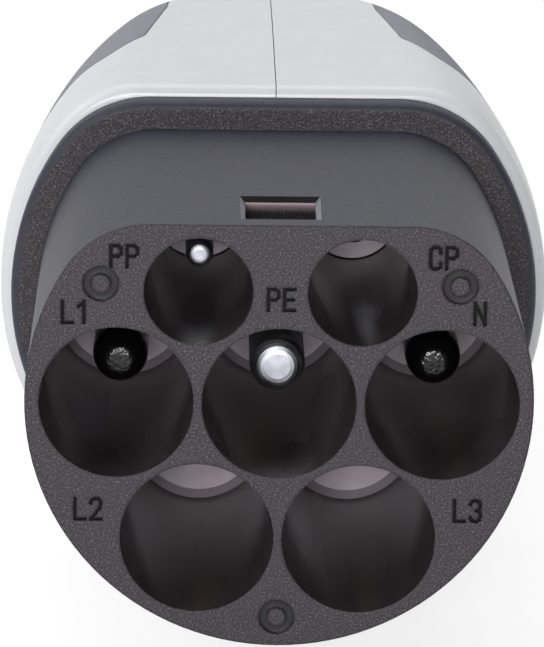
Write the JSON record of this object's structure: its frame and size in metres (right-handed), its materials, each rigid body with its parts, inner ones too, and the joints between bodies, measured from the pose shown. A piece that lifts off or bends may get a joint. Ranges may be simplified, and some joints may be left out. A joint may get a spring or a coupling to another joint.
{
  "type": "ev charging plug",
  "caption": "Hand-held EV charging plug with a round flat-topped mating nose, recessed contacts, a split grey housing and dark grips.",
  "frame": {"origin": "centre of the mating face, on the axis of the earth contact", "axes": "-Y is the mating direction out of the face, +Y runs back through the handle, +Z is the flat keyed side, +X is to the right seen from the front"},
  "size_m": [0.0634, 0.2145, 0.055],
  "materials": {
    "nose_plastic": "dark grey moulded polyamide, spark-eroded grain on the face",
    "plate_plastic": "black glass-filled polyamide",
    "carrier_plastic": "dark grey moulded polyamide",
    "contact_silver": "turned brass, silver plated",
    "cap_plastic": "black insulating cap, satin",
    "resistor": "lacquered resistor body",
    "seal_rubber": "black sealing rubber",
    "housing_plastic": "light grey moulded polycarbonate, satin",
    "grip_rubber": "dark grey soft grip, fine grain",
    "screw_steel": "zinc plated steel",
    "gland_plastic": "black moulded polyamide"
  },
  "bodies": {
    "root": {"nose": "nose_plastic", "contact_carrier": "carrier_plastic", "contact_plate": "plate_plastic", "pe_contact": "contact_silver", "l1_contact": "contact_silver", "n_contact": "contact_silver", "pp_contact": "contact_silver", "cp_contact": "contact_silver", "l1_tip": "cap_plastic", "n_tip": "cap_plastic", "coding_resistor": "resistor", "flange_seal": "seal_rubber", "housing_left": "housing_plastic", "housing_right": "housing_plastic", "grip_left": "grip_rubber", "grip_right": "grip_rubber", "housing_screws": "screw_steel", "plate_screws": "screw_steel", "cable_clamp": "plate_plastic", "clamp_screws": "screw_steel", "gland_body": "gland_plastic", "gland_seal": "seal_rubber", "gland_nut": "gland_plastic"}
  },
  "joints": []
}
